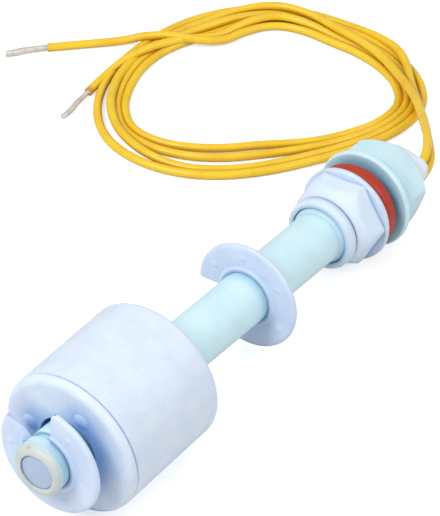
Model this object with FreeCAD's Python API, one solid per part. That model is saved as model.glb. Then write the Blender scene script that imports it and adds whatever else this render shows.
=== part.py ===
"""Float level switch of the stem-mounted kind, lying on a level surface with its lead pair coiled behind it.

The stem, its head, the float, the clips, the nut, the gasket and the reed switch inside are modelled
along one axis: station 0 is the very tip and stations grow towards the head. The finished stem is then
laid down: the loose float lies flat on the surface and the rim of the head flange touches it, so the
stem slopes gently down to the head inside the float's wide bore. The lead pair is laid out on the
surface from where it leaves the head.
"""
import FreeCAD, Part
import math
import os

from FreeCAD import Placement, Rotation, Vector

# All lengths are in millimetres and all angles in degrees.

# Stem: a drafted tube, a threaded shank and a hexagonal head with a round flange, moulded as one.
STEM_TIP_RADIUS = 4.1
STEM_ROOT_RADIUS = 4.25
STEM_BORE_RADIUS = 2.6
STEM_LENGTH = 87.9
SHANK_RADIUS = 4.9
SHANK_LENGTH = 12.6
SHANK_LEAD_IN = 0.7
FLANGE_RADIUS = 8.3
FLANGE_THICKNESS = 1.15
FLANGE_EDGE_ROUND = 0.35
HEAD_HEX_ACROSS_FLATS = 13.3
HEAD_HEX_LENGTH = 6.5
HEAD_HEX_ROLL = -12.2
HEAD_CROWN_ROUND = 1.9
CUP_RADIUS = 5.2
CUP_FLOOR_RADIUS = 4.55
CUP_DEPTH = 3.4
HEX_SIDES = 6

# Tip closure: a rounded ferrule in the mouth of the tube and a flush plug in the ferrule.
FERRULE_PROTRUSION = 1.7
FERRULE_RADIUS = 4.4
FERRULE_EDGE_ROUND = 1.0
FERRULE_SPIGOT_LENGTH = 3.0
FERRULE_BORE_RADIUS = 1.7
PLUG_HEAD_RADIUS = 3.1
PLUG_HEAD_THICKNESS = 0.5
PLUG_RECESS = 0.35

# Two equal snap-on clips that stop the float at either end of its travel.
CLIP_RADIUS = 8.6
CLIP_THICKNESS = 1.05
CLIP_RIM_ROUND = 0.25
CLIP_GROOVE_DEPTH = 0.45
CLIP_MOUTH_AT_BORE = 4.6
CLIP_MOUTH_FLARE = 36.0
CLIP_COLLAR_RADIUS = 5.0
CLIP_COLLAR_HEIGHT = 0.25
CLIP_PIN_MARK_RADIUS = 0.55
CLIP_PIN_MARK_HEIGHT = 0.12
CLIP_PIN_MARK_CIRCLE = 6.8
CLIP_PIN_MARK_ANGLES = (62.0, 118.0, 180.0, 242.0, 298.0)
END_CLIP_STATION = 3.2
END_CLIP_MOUTH_ANGLE = 65.0
TRAVEL_CLIP_STATION = 50.45
TRAVEL_CLIP_MOUTH_ANGLE = -32.0
CLIP_FIT = 0.04

# Float: a cup with a bore tube, a welded cap and a ring magnet trapped between them.
FLOAT_STATION = 7.6
FLOAT_LENGTH = 20.55
FLOAT_RADIUS = 11.6
FLOAT_DRAFT = 0.1
FLOAT_STEM_CLEARANCE = 0.75
FLOAT_WALL = 1.25
FLOAT_BORE_WALL = 1.0
FLOAT_CAP_THICKNESS = 1.45
FLOAT_CAP_ROUND = 1.15
FLOAT_REAR_ROUND = 1.0
SEAM_CHAMFER = 0.22
CAP_SPIGOT_LENGTH = 1.6
CAP_SPIGOT_WALL = 0.9
CAP_SLEEVE_WALL = 0.9
WELD_FIT = 0.05
NUB_RADIUS = 1.3
NUB_HEIGHT = 0.45
NUB_CIRCLE = 6.8
NUB_ANGLES = (113.0, 10.0, -120.0)
MAGNET_THICKNESS = 5.0
MAGNET_ROOM = 0.75
MAGNET_EDGE_CHAMFER = 0.4
MAGNET_FIT = 0.08

# Mounting nut: hexagon with a round flange on the gasket side and a round collar on the float side.
NUT_COLLAR_LENGTH = 1.6
NUT_COLLAR_RADIUS = 5.95
NUT_COLLAR_ROUND = 0.5
NUT_GROOVE_WIDTH = 0.5
NUT_GROOVE_RADIUS = 5.45
NUT_HEX_ACROSS_FLATS = 13.4
NUT_HEX_LENGTH = 4.9
NUT_HEX_ROLL = -4.0
NUT_HEX_CROWN = 1.9
NUT_HEX_CROWN_LENGTH = 3.2
NUT_FLANGE_RADIUS = 7.95
NUT_FLANGE_THICKNESS = 1.0
NUT_FLANGE_ROUND = 0.3
THREAD_FIT = 0.05

# Gasket: a soft round-edged ring on the shank, close behind the nut.
GASKET_THICKNESS = 3.0
GASKET_RADIUS = 7.3
GASKET_EDGE_ROUND = 1.2
GASKET_NUT_GAP = 0.35
GASKET_FLANGE_GAP = 0.9
GASKET_SHANK_FIT = 0.08

# Reed switch and its wiring, rolled about the stem's axis so that the leads leave side by side.
WIRING_ROLL = -61.0
LEAD_RADIUS = 0.75
LEAD_GAP = 0.02
CONDUCTOR_RADIUS = 0.3
REED_STATION = 13.0
REED_GLASS_RADIUS = 1.0
REED_GLASS_LENGTH = 14.0
REED_GLASS_WALL = 0.25
REED_SEAL_LENGTH = 2.2
REED_CLEARANCE = 0.06
BLADE_WIDTH = 1.1
BLADE_THICKNESS = 0.16
BLADE_CONTACT_GAP = 0.08
BLADE_OVERLAP = 1.0
REED_LEG_RADIUS = 0.22
REED_LEG_LENGTH = 1.6
SOLDER_RADIUS = 0.58
SOLDER_GAP = 0.1
STUB_LENGTH = 1.2
SLEEVE_BORE_RADIUS = 2.15
SLEEVE_RADIUS = 2.5
SLEEVE_OVERHANG = 3.0

# Potting: poured in the head's cup round the leads, standing out as a soft dome.
POTTING_DEPTH = 8.0
POTTING_DOME = 4.6
POTTING_DOME_RADIUS = 4.8
POTTING_DOME_ROUND = 2.0
POTTING_FIT = 0.03

# Free lead pair: hand-laid routes, each point as (x, y) from the lead's exit and height above the surface.
EXIT_STRAIGHT = 2.4
LEAD_A_ROUTE = (
    (6.3, 0.5, 6.55),
    (11.9, 3.2, 4.2),
    (16.3, 6.9, 2.4),
    (19.1, 9.7, 1.7),
    (21.7, 12.7, 1.6),
)
LEAD_B_ROUTE = (
    (6.5, 0.2, 5.85),
    (12.4, 2.8, 3.8),
    (17.2, 6.7, 2.25),
    (20.4, 9.6, 1.6),
    (23.2, 12.7, 1.5),
)
COIL_CENTRE = (8.9, 33.8)
COIL_HEIGHT = 3.1
COIL_OUTER_RADII = (26.6, 26.8, 26.5, 25.7, 28.0, 29.9, 26.9, 22.9, 20.9, 23.2, 27.9, 27.6)
COIL_INNER_RADII = (19.0, 19.6, 16.3, 19.7, 22.1, 22.8, 16.9, 13.5, 13.9, 17.1, 22.6, 21.2)
TAIL_A_ROUTE = (
    (12.2, 56.2, 1.3),
    (7.6, 62.3, 0.8),
    (3.0, 67.6, 0.75),
    (-1.6, 72.2, 0.75),
)
TAIL_B_ROUTE = (
    (8.6, 57.9, 1.2),
    (3.6, 58.8, 0.8),
    (-1.8, 59.1, 0.75),
    (-7.6, 58.5, 0.75),
)
TINNED_END_A = (-7.4, 77.2, 0.6)
TINNED_END_B = (-15.7, 57.9, 0.6)
TINNED_RADIUS = 0.5
ARC_SHARE = 0.45

# Places that follow from the sizes above.
STEM_START = FERRULE_PROTRUSION
STEM_END = STEM_START + STEM_LENGTH
HEX_START = STEM_END - HEAD_HEX_LENGTH
CUP_FLOOR = STEM_END - CUP_DEPTH
FLANGE_SEAT = HEX_START - FLANGE_THICKNESS
SHANK_START = FLANGE_SEAT - SHANK_LENGTH
FLOAT_SEAM = FLOAT_STATION + FLOAT_CAP_THICKNESS
FLOAT_END = FLOAT_STATION + FLOAT_LENGTH
FLOAT_FRONT_RADIUS = FLOAT_RADIUS - FLOAT_DRAFT
FLOAT_BORE_RADIUS = STEM_ROOT_RADIUS + FLOAT_STEM_CLEARANCE
FLOAT_TUBE_RADIUS = FLOAT_BORE_RADIUS + FLOAT_BORE_WALL
FLOAT_ROOM_RADIUS = FLOAT_RADIUS - FLOAT_WALL
MAGNET_RADIUS = FLOAT_ROOM_RADIUS - MAGNET_ROOM
MAGNET_END = FLOAT_END - FLOAT_WALL - MAGNET_FIT
MAGNET_START = MAGNET_END - MAGNET_THICKNESS
GASKET_STATION = FLANGE_SEAT - GASKET_FLANGE_GAP - GASKET_THICKNESS
NUT_END = GASKET_STATION - GASKET_NUT_GAP
NUT_FLANGE_START = NUT_END - NUT_FLANGE_THICKNESS
NUT_HEX_START = NUT_FLANGE_START - NUT_HEX_LENGTH
NUT_COLLAR_END = NUT_HEX_START - NUT_GROOVE_WIDTH
NUT_STATION = NUT_COLLAR_END - NUT_COLLAR_LENGTH
LEAD_OFFSET = LEAD_RADIUS + LEAD_GAP / 2.0
REED_OFFSET = LEAD_OFFSET - LEAD_RADIUS - REED_GLASS_RADIUS - REED_CLEARANCE
REED_END = REED_STATION + REED_GLASS_LENGTH
EXIT_STATION = STEM_END + POTTING_DOME
FLOAT_MIDDLE = FLOAT_STATION + FLOAT_LENGTH / 2.0

AXIS_START = Vector(0, 0, 0)
ALONG = Vector(1, 0, 0)


def corner_arc(before, corner, after, rounding):
    """Start, middle and end of the arc that rounds one corner of an outline."""
    back = (before - corner).normalize()
    ahead = (after - corner).normalize()
    half = back.getAngle(ahead) / 2.0
    reach = rounding / math.tan(half)
    inward = (back + ahead).normalize()
    centre = corner + inward * (rounding / math.sin(half))
    return corner + back * reach, centre - inward * rounding, corner + ahead * reach


def outline(corners):
    """Closed wire through (station, radius) corners; a third value rounds that corner."""
    points = [Vector(corner[0], corner[1], 0) for corner in corners]
    following = points[1:] + points[:1]
    edges = []
    ends = []
    for index, corner in enumerate(corners):
        here = points[index]
        if len(corner) == 3:
            first, middle, last = corner_arc(points[index - 1], here, following[index], corner[2])
            ends.append((first, last, Part.Arc(first, middle, last).toShape()))
        else:
            ends.append((here, here, None))
    for index, (first, last, arc) in enumerate(ends):
        if arc is not None:
            edges.append(arc)
        edges.append(Part.LineSegment(last, ends[(index + 1) % len(ends)][0]).toShape())
    return Part.Wire(edges)


def turned(corners):
    """Solid of revolution about the stem's axis."""
    return Part.Face(outline(corners)).revolve(AXIS_START, ALONG, 360.0)


def rod(start, end, radius, across=0.0):
    """Round bar along the stem at a height above its axis."""
    return Part.makeCylinder(radius, end - start, Vector(start, 0, across), ALONG)


def rolled(shape, angle):
    """Copy of a shape turned about the stem's axis."""
    copy = shape.copy()
    copy.rotate(AXIS_START, ALONG, angle)
    return copy


def corner_reach(across_flats):
    """Radius to the corners of a hexagon."""
    return across_flats / 2.0 / math.cos(math.pi / HEX_SIDES)


def hexagon(start, length, across_flats, roll):
    """Six-sided prism along the stem, with a corner at the roll angle."""
    reach = corner_reach(across_flats)
    turn = 360.0 / HEX_SIDES
    angles = [math.radians(roll + turn * step) for step in range(HEX_SIDES + 1)]
    points = [Vector(start, reach * math.cos(angle), reach * math.sin(angle)) for angle in angles]
    return Part.Face(Part.makePolygon(points)).extrude(Vector(length, 0, 0))


def stem_radius(station):
    """Radius of the drafted tube at a station."""
    share = (station - STEM_START) / (SHANK_START - STEM_START)
    return STEM_TIP_RADIUS + share * (STEM_ROOT_RADIUS - STEM_TIP_RADIUS)


def groove_radius(station):
    """Floor of a clip's groove."""
    return stem_radius(station) - CLIP_GROOVE_DEPTH


def groove_corners(station):
    """Corners of one clip groove on the outside of the tube."""
    front = station - CLIP_FIT
    back = station + CLIP_THICKNESS + CLIP_FIT
    floor = groove_radius(station)
    return [(front, stem_radius(front)), (front, floor), (back, floor), (back, stem_radius(back))]


def stem_body():
    """Tube, clip grooves, threaded shank, flange and hexagonal head with its cup, in one piece."""
    outside = [(STEM_START, STEM_BORE_RADIUS), (STEM_START, STEM_TIP_RADIUS)]
    outside += groove_corners(END_CLIP_STATION)
    outside += groove_corners(TRAVEL_CLIP_STATION)
    outside += [
        (SHANK_START, STEM_ROOT_RADIUS),
        (SHANK_START + SHANK_LEAD_IN, SHANK_RADIUS),
        (FLANGE_SEAT, SHANK_RADIUS),
        (FLANGE_SEAT, FLANGE_RADIUS, FLANGE_EDGE_ROUND),
        (HEX_START, FLANGE_RADIUS, FLANGE_EDGE_ROUND),
        (HEX_START, STEM_BORE_RADIUS),
    ]
    corner = corner_reach(HEAD_HEX_ACROSS_FLATS)
    crown = turned([
        (HEX_START, 0),
        (HEX_START, corner),
        (STEM_END, corner, HEAD_CROWN_ROUND),
        (STEM_END, 0),
    ])
    cup = turned([
        (HEX_START, 0),
        (HEX_START, STEM_BORE_RADIUS),
        (CUP_FLOOR, STEM_BORE_RADIUS),
        (CUP_FLOOR, CUP_FLOOR_RADIUS),
        (STEM_END, CUP_RADIUS),
        (STEM_END, 0),
    ])
    prism = hexagon(HEX_START, HEAD_HEX_LENGTH, HEAD_HEX_ACROSS_FLATS, HEAD_HEX_ROLL)
    return turned(outside).fuse(prism.common(crown).cut(cup)).removeSplitter()


def end_ferrule():
    """Rounded ring that closes the mouth of the tube, with a spigot in the bore."""
    spigot = STEM_BORE_RADIUS - POTTING_FIT
    return turned([
        (PLUG_RECESS, PLUG_HEAD_RADIUS),
        (0, PLUG_HEAD_RADIUS),
        (0, FERRULE_RADIUS, FERRULE_EDGE_ROUND),
        (STEM_START, FERRULE_RADIUS),
        (STEM_START, spigot),
        (STEM_START + FERRULE_SPIGOT_LENGTH, spigot),
        (STEM_START + FERRULE_SPIGOT_LENGTH, FERRULE_BORE_RADIUS),
        (PLUG_RECESS + PLUG_HEAD_THICKNESS, FERRULE_BORE_RADIUS),
        (PLUG_RECESS + PLUG_HEAD_THICKNESS, PLUG_HEAD_RADIUS),
    ])


def end_plug():
    """Flat-headed plug pressed in the ferrule's bore."""
    head = PLUG_HEAD_RADIUS - POTTING_FIT
    pin = FERRULE_BORE_RADIUS - POTTING_FIT
    return turned([
        (PLUG_RECESS, 0),
        (PLUG_RECESS, head),
        (PLUG_RECESS + PLUG_HEAD_THICKNESS, head),
        (PLUG_RECESS + PLUG_HEAD_THICKNESS, pin),
        (STEM_START + FERRULE_SPIGOT_LENGTH, pin),
        (STEM_START + FERRULE_SPIGOT_LENGTH, 0),
    ])


def mouth_cutter(station, bore_radius):
    """Flared gap of a clip, opening along +Z."""
    half = CLIP_MOUTH_AT_BORE / 2.0
    base = math.sqrt(bore_radius ** 2 - half ** 2)
    rise = CLIP_RADIUS - base + CLIP_THICKNESS
    spread = half + rise * math.tan(math.radians(CLIP_MOUTH_FLARE / 2.0))
    front = station - CLIP_THICKNESS
    top = base + rise
    corners = [(-half, 0), (-half, base), (-spread, top), (spread, top), (half, base), (half, 0)]
    points = [Vector(front, across, up) for across, up in corners + corners[:1]]
    return Part.Face(Part.makePolygon(points)).extrude(Vector(CLIP_THICKNESS * 3.0, 0, 0))


def clip(station, mouth_angle):
    """Snap-on stop clip with a rounded rim, a collar round its bore and small pin marks."""
    bore = groove_radius(station) + CLIP_FIT
    back = station + CLIP_THICKNESS
    disc = turned([
        (station, bore),
        (station, CLIP_RADIUS, CLIP_RIM_ROUND),
        (back, CLIP_RADIUS, CLIP_RIM_ROUND),
        (back, bore),
    ])
    collar_bore = stem_radius(station) + CLIP_FIT
    collar = turned([
        (station - CLIP_COLLAR_HEIGHT, collar_bore),
        (station - CLIP_COLLAR_HEIGHT, CLIP_COLLAR_RADIUS, CLIP_COLLAR_HEIGHT / 2.0),
        (station, CLIP_COLLAR_RADIUS),
        (station, collar_bore),
    ])
    solid = disc.fuse(collar)
    for angle in CLIP_PIN_MARK_ANGLES:
        start = station - CLIP_PIN_MARK_HEIGHT
        mark = rod(start, station + CLIP_RIM_ROUND, CLIP_PIN_MARK_RADIUS, CLIP_PIN_MARK_CIRCLE)
        solid = solid.fuse(rolled(mark, angle))
    solid = solid.cut(mouth_cutter(station, bore)).removeSplitter()
    return rolled(solid, mouth_angle - 90.0)


def float_radius(station):
    """Outside of the drafted float at a station."""
    share = (station - FLOAT_STATION) / FLOAT_LENGTH
    return FLOAT_FRONT_RADIUS + share * FLOAT_DRAFT


def float_shell():
    """Cup with a closed rear, a tube round the bore and a chamfered rim at the weld seam."""
    rim = FLOAT_SEAM + SEAM_CHAMFER
    return turned([
        (FLOAT_SEAM, FLOAT_BORE_RADIUS),
        (FLOAT_SEAM, FLOAT_TUBE_RADIUS),
        (FLOAT_END - FLOAT_WALL, FLOAT_TUBE_RADIUS),
        (FLOAT_END - FLOAT_WALL, FLOAT_ROOM_RADIUS),
        (FLOAT_SEAM, FLOAT_ROOM_RADIUS - SEAM_CHAMFER / 2.0),
        (FLOAT_SEAM, float_radius(FLOAT_SEAM) - SEAM_CHAMFER),
        (rim, float_radius(rim)),
        (FLOAT_END, FLOAT_RADIUS, FLOAT_REAR_ROUND),
        (FLOAT_END, FLOAT_BORE_RADIUS, FLOAT_BORE_WALL / 2.0),
    ])


def float_cap():
    """Rounded front cover with a spigot in the cup, a sleeve that holds the magnet back, and three nubs."""
    spigot = FLOAT_ROOM_RADIUS - SEAM_CHAMFER / 2.0 - WELD_FIT
    sleeve = FLOAT_TUBE_RADIUS + WELD_FIT
    sleeve_end = MAGNET_START - MAGNET_FIT
    seam = FLOAT_SEAM - WELD_FIT
    cap = turned([
        (FLOAT_STATION, FLOAT_BORE_RADIUS),
        (FLOAT_STATION, FLOAT_FRONT_RADIUS, FLOAT_CAP_ROUND),
        (seam - SEAM_CHAMFER, float_radius(FLOAT_STATION)),
        (seam, float_radius(FLOAT_STATION) - SEAM_CHAMFER),
        (seam, spigot),
        (seam + CAP_SPIGOT_LENGTH, spigot),
        (seam + CAP_SPIGOT_LENGTH, spigot - CAP_SPIGOT_WALL),
        (seam, spigot - CAP_SPIGOT_WALL),
        (seam, sleeve + CAP_SLEEVE_WALL),
        (sleeve_end, sleeve + CAP_SLEEVE_WALL),
        (sleeve_end, sleeve),
        (seam, sleeve),
        (seam, FLOAT_BORE_RADIUS),
    ])
    ball = (NUB_RADIUS ** 2 + NUB_HEIGHT ** 2) / (2.0 * NUB_HEIGHT)
    dome = Part.makeSphere(ball, Vector(FLOAT_STATION - NUB_HEIGHT + ball, 0, NUB_CIRCLE))
    nub = dome.common(rod(FLOAT_STATION - NUB_HEIGHT, FLOAT_STATION + WELD_FIT, NUB_RADIUS, NUB_CIRCLE))
    for angle in NUB_ANGLES:
        cap = cap.fuse(rolled(nub, angle - 90.0))
    return cap.removeSplitter()


def ring_magnet():
    """Ring magnet, free to turn on the float's bore tube."""
    bore = FLOAT_TUBE_RADIUS + MAGNET_FIT
    cut = MAGNET_EDGE_CHAMFER
    return turned([
        (MAGNET_START, bore),
        (MAGNET_START, MAGNET_RADIUS - cut),
        (MAGNET_START + cut, MAGNET_RADIUS),
        (MAGNET_END - cut, MAGNET_RADIUS),
        (MAGNET_END, MAGNET_RADIUS - cut),
        (MAGNET_END, bore),
    ])


def mounting_nut():
    """Hexagon nut with a crowned front, a grooved round collar and a round flange."""
    bore = SHANK_RADIUS + THREAD_FIT
    collar = turned([
        (NUT_STATION, bore),
        (NUT_STATION, NUT_COLLAR_RADIUS, NUT_COLLAR_ROUND),
        (NUT_COLLAR_END, NUT_COLLAR_RADIUS),
        (NUT_COLLAR_END, NUT_GROOVE_RADIUS),
        (NUT_HEX_START, NUT_GROOVE_RADIUS),
        (NUT_HEX_START, bore),
    ])
    corner = corner_reach(NUT_HEX_ACROSS_FLATS)
    crown = turned([
        (NUT_HEX_START, bore),
        (NUT_HEX_START, corner - NUT_HEX_CROWN),
        (NUT_HEX_START + NUT_HEX_CROWN_LENGTH, corner),
        (NUT_FLANGE_START, corner),
        (NUT_FLANGE_START, bore),
    ])
    flange = turned([
        (NUT_FLANGE_START, bore),
        (NUT_FLANGE_START, NUT_FLANGE_RADIUS, NUT_FLANGE_ROUND),
        (NUT_END, NUT_FLANGE_RADIUS, NUT_FLANGE_ROUND),
        (NUT_END, bore),
    ])
    prism = hexagon(NUT_HEX_START, NUT_HEX_LENGTH, NUT_HEX_ACROSS_FLATS, NUT_HEX_ROLL)
    return collar.fuse(prism.common(crown)).fuse(flange).removeSplitter()


def sealing_gasket():
    """Soft ring with a rounded outer edge."""
    bore = SHANK_RADIUS + GASKET_SHANK_FIT
    end = GASKET_STATION + GASKET_THICKNESS
    return turned([
        (GASKET_STATION, bore),
        (GASKET_STATION, GASKET_RADIUS, GASKET_EDGE_ROUND),
        (end, GASKET_RADIUS, GASKET_EDGE_ROUND),
        (end, bore),
    ])


def blade_height(side):
    """Height of a blade's mid-plane: side +1 is the upper blade and -1 the lower."""
    return REED_OFFSET + side * (BLADE_CONTACT_GAP + BLADE_THICKNESS) / 2.0


def reed_blade(side):
    """Flat blade with its round leg; the upper one is on the tip side and its leg turns up to the lead."""
    middle = REED_STATION + REED_GLASS_LENGTH / 2.0
    front = REED_STATION if side > 0 else middle - BLADE_OVERLAP / 2.0
    back = middle + BLADE_OVERLAP / 2.0 if side > 0 else REED_END
    corner = Vector(front, -BLADE_WIDTH / 2.0, blade_height(side) - BLADE_THICKNESS / 2.0)
    flat = Part.makeBox(back - front, BLADE_WIDTH, BLADE_THICKNESS, corner)
    if side < 0:
        leg = rod(REED_END - REED_SEAL_LENGTH, REED_END + REED_LEG_LENGTH, REED_LEG_RADIUS, REED_OFFSET)
        return flat.fuse(leg).removeSplitter()
    turn = REED_STATION - REED_LEG_LENGTH
    leg = rod(turn, REED_STATION + REED_SEAL_LENGTH, REED_LEG_RADIUS, REED_OFFSET)
    elbow = Part.makeSphere(REED_LEG_RADIUS, Vector(turn, 0, REED_OFFSET))
    rise = LEAD_OFFSET - REED_OFFSET
    upright = Part.makeCylinder(REED_LEG_RADIUS, rise, Vector(turn, 0, REED_OFFSET), Vector(0, 0, 1))
    return flat.fuse(leg).fuse(elbow).fuse(upright).removeSplitter()


def reed_glass(blades):
    """Sealed glass capsule with solid ends, round the two blades."""
    capsule = rod(REED_STATION, REED_END, REED_GLASS_RADIUS, REED_OFFSET)
    ends = [edge for edge in capsule.Edges if edge.Curve.TypeId == "Part::GeomCircle"]
    capsule = capsule.makeFillet(REED_GLASS_WALL, ends)
    room_start = REED_STATION + REED_SEAL_LENGTH
    room_end = REED_END - REED_SEAL_LENGTH
    room = rod(room_start, room_end, REED_GLASS_RADIUS - REED_GLASS_WALL, REED_OFFSET)
    for piece in [room] + blades:
        capsule = capsule.cut(piece)
    return capsule


def lead_core(side):
    """Inner length of one lead: insulation up to the potting's face, and a bare stub at the reed's leg."""
    bare = REED_STATION - REED_LEG_LENGTH if side > 0 else REED_END + REED_LEG_LENGTH
    start = bare + REED_LEG_RADIUS + SOLDER_GAP
    insulation = start + STUB_LENGTH
    height = side * LEAD_OFFSET
    stub = rod(start, insulation + LEAD_RADIUS, CONDUCTOR_RADIUS, height)
    return stub.fuse(rod(insulation, EXIT_STATION, LEAD_RADIUS, height)).removeSplitter()


def solder_joint(side, others):
    """Blob of solder where a reed leg meets its lead."""
    bare = REED_STATION - REED_LEG_LENGTH if side > 0 else REED_END + REED_LEG_LENGTH
    height = LEAD_OFFSET if side > 0 else (REED_OFFSET - LEAD_OFFSET) / 2.0
    blob = Part.makeSphere(SOLDER_RADIUS, Vector(bare + REED_LEG_RADIUS, 0, height), Vector(0, 1, 0))
    for piece in others:
        blob = blob.cut(piece)
    return blob


def insulating_sleeve():
    """Sleeve over the reed switch and both solder joints, a sliding fit in the stem's bore."""
    start = REED_STATION - SLEEVE_OVERHANG
    end = REED_END + SLEEVE_OVERHANG
    return rod(start, end, SLEEVE_RADIUS).cut(rod(start, end, SLEEVE_BORE_RADIUS))


def potting(leads):
    """Resin from the stem's bore out to a soft dome round the leads."""
    bore = STEM_BORE_RADIUS - POTTING_FIT
    inner = CUP_FLOOR + POTTING_FIT
    rim = CUP_RADIUS - POTTING_FIT
    dome = turned([
        (STEM_END - POTTING_DEPTH, 0),
        (STEM_END - POTTING_DEPTH, bore),
        (inner, bore),
        (inner, CUP_FLOOR_RADIUS - POTTING_FIT),
        (STEM_END, rim),
        (EXIT_STATION, POTTING_DOME_RADIUS, POTTING_DOME_ROUND),
        (EXIT_STATION, 0),
    ])
    for lead in leads:
        dome = dome.cut(lead)
    return dome


def stem_slope():
    """Angle at which the stem, centred in the flat-lying float, comes down to rest on the head flange."""
    span = HEX_START - FLOAT_MIDDLE
    reach = math.hypot(span, FLANGE_RADIUS)
    return math.degrees(math.asin(FLOAT_RADIUS / reach) - math.atan2(FLANGE_RADIUS, span))


def stem_height():
    """Height of the stem's tip above the surface."""
    return FLOAT_RADIUS + FLOAT_MIDDLE * math.sin(math.radians(stem_slope()))


def laid_down(shape):
    """Copy of a stem-frame shape in its place above the surface, sloping down to the head."""
    place = Placement(Vector(0, 0, stem_height()), Rotation(Vector(0, 1, 0), stem_slope()))
    copy = shape.copy()
    copy.Placement = place.multiply(copy.Placement)
    return copy


def levelled(shape):
    """Copy of a float piece canted about the float's middle, so that it lies flat on the surface."""
    copy = shape.copy()
    copy.rotate(Vector(FLOAT_MIDDLE, 0, 0), Vector(0, 1, 0), -stem_slope())
    return copy


def lead_exit(side):
    """Where a lead leaves the potting, on the surface's frame before centring."""
    roll = math.radians(WIRING_ROLL)
    height = side * LEAD_OFFSET
    point = Vector(EXIT_STATION, -height * math.sin(roll), height * math.cos(roll))
    laid = Rotation(Vector(0, 1, 0), stem_slope()).multVec(point)
    return laid + Vector(0, 0, stem_height())


def laid_direction():
    """Direction of the sloping stem, towards the head."""
    return Rotation(Vector(0, 1, 0), stem_slope()).multVec(ALONG)


def route_points(start, route):
    """Points of a lead from its exit; the heights in a route are above the surface."""
    return [Vector(start.x + x, start.y + y, z) for x, y, z in route]


def cord_tube(name, points, radius):
    """Round tube of straight runs joined by tangent arcs, with its bends and volume printed."""
    runs = [points[index + 1] - points[index] for index in range(len(points) - 1)]
    edges = []
    start = points[0]
    radii = []
    for index in range(1, len(points) - 1):
        before, after = runs[index - 1], runs[index]
        half = before.getAngle(after) / 2.0
        reach = ARC_SHARE * min(before.Length, after.Length)
        bend = reach / math.tan(half)
        radii.append(round(bend, 1))
        corner = points[index]
        first = corner - Vector(before).normalize() * reach
        last = corner + Vector(after).normalize() * reach
        inward = (Vector(after).normalize() - Vector(before).normalize()).normalize()
        middle = corner + inward * (bend / math.cos(half) - bend)
        edges.append(Part.LineSegment(start, first).toShape())
        edges.append(Part.Arc(first, middle, last).toShape())
        start = last
    edges.append(Part.LineSegment(start, points[-1]).toShape())
    path = Part.Wire(edges)
    section = Part.Wire([Part.makeCircle(radius, points[0], runs[0])])
    tube = path.makePipeShell([section], True, False)
    expected = math.pi * radius ** 2 * path.Length
    ratio = round(tube.Volume / expected, 4)
    print(name, "length", round(path.Length, 1), "bend radii", radii, "volume ratio", ratio)
    return tube


def closed_curve(centre, radii):
    """Smooth closed loop through points at even angles."""
    step = 2.0 * math.pi / len(radii)
    points = [
        Vector(centre.x + reach * math.cos(index * step), centre.y + reach * math.sin(index * step), 0)
        for index, reach in enumerate(radii)
    ]
    curve = Part.BSplineCurve()
    curve.interpolate(points, PeriodicFlag=True)
    return Part.Wire([curve.toShape()])


def lead_coil(origin):
    """Outer shape of the loose coil of both leads, flat on the surface."""
    centre = Vector(origin.x + COIL_CENTRE[0], origin.y + COIL_CENTRE[1], 0)
    rise = Vector(0, 0, COIL_HEIGHT)
    outer = Part.Face(closed_curve(centre, COIL_OUTER_RADII)).extrude(rise)
    inner = Part.Face(closed_curve(centre, COIL_INNER_RADII)).extrude(rise)
    return outer.cut(inner)


def stem_pieces():
    """Every piece that lies on the stem, in the stem's own frame."""
    blades = {side: reed_blade(side) for side in (1, -1)}
    leads = {side: lead_core(side) for side in (1, -1)}
    wiring = {
        "reed_blade_tip_side": blades[1],
        "reed_blade_head_side": blades[-1],
        "reed_glass": reed_glass([blades[1], blades[-1]]),
        "lead_core_a": leads[1],
        "lead_core_b": leads[-1],
        "solder_joint_a": solder_joint(1, [blades[1], leads[1]]),
        "solder_joint_b": solder_joint(-1, [blades[-1], leads[-1]]),
        "potting": potting([leads[1], leads[-1]]),
    }
    pieces = {
        "stem_body": stem_body(),
        "end_ferrule": end_ferrule(),
        "end_plug": end_plug(),
        "end_clip": clip(END_CLIP_STATION, END_CLIP_MOUTH_ANGLE),
        "travel_clip": clip(TRAVEL_CLIP_STATION, TRAVEL_CLIP_MOUTH_ANGLE),
        "float_shell": levelled(float_shell()),
        "float_cap": levelled(float_cap()),
        "ring_magnet": levelled(ring_magnet()),
        "mounting_nut": mounting_nut(),
        "sealing_gasket": sealing_gasket(),
        "insulating_sleeve": insulating_sleeve(),
    }
    pieces.update({name: rolled(shape, WIRING_ROLL) for name, shape in wiring.items()})
    return pieces


def cord_pieces():
    """The free lead pair on the surface: exits, coil, tails and tinned ends."""
    pieces = {}
    exits = {"a": lead_exit(1), "b": lead_exit(-1)}
    origin = exits["a"]
    straight = laid_direction() * EXIT_STRAIGHT
    layout = {
        "a": (LEAD_A_ROUTE, TAIL_A_ROUTE, TINNED_END_A),
        "b": (LEAD_B_ROUTE, TAIL_B_ROUTE, TINNED_END_B),
    }
    for letter, (route, tail, end) in layout.items():
        lead = "lead_" + letter
        run = [exits[letter], exits[letter] + straight] + route_points(exits[letter], route)
        pieces[lead + "_exit"] = cord_tube(lead + "_exit", run, LEAD_RADIUS)
        run = route_points(origin, tail)
        pieces[lead + "_tail"] = cord_tube(lead + "_tail", run, LEAD_RADIUS)
        bare = route_points(origin, [end])[0] - run[-1]
        pieces["tinned_end_" + letter] = Part.makeCylinder(TINNED_RADIUS, bare.Length, run[-1], bare)
    pieces["lead_coil"] = lead_coil(origin)
    return pieces


def assembly():
    """All pieces, with the middle of the switch without its leads over the origin."""
    body = {name: laid_down(shape) for name, shape in stem_pieces().items()}
    box = Part.makeCompound(list(body.values())).BoundBox
    centre = Vector(-box.Center.x, -box.Center.y, 0)
    body.update(cord_pieces())
    for shape in body.values():
        shape.translate(centre)
    tip = centre + Vector(0, 0, stem_height())
    print("stem tip", [round(value, 4) for value in tip], "slope", round(stem_slope(), 4))
    for side in (1, -1):
        print("lead exit", [round(value, 3) for value in lead_exit(side) + centre])
    return body


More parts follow.
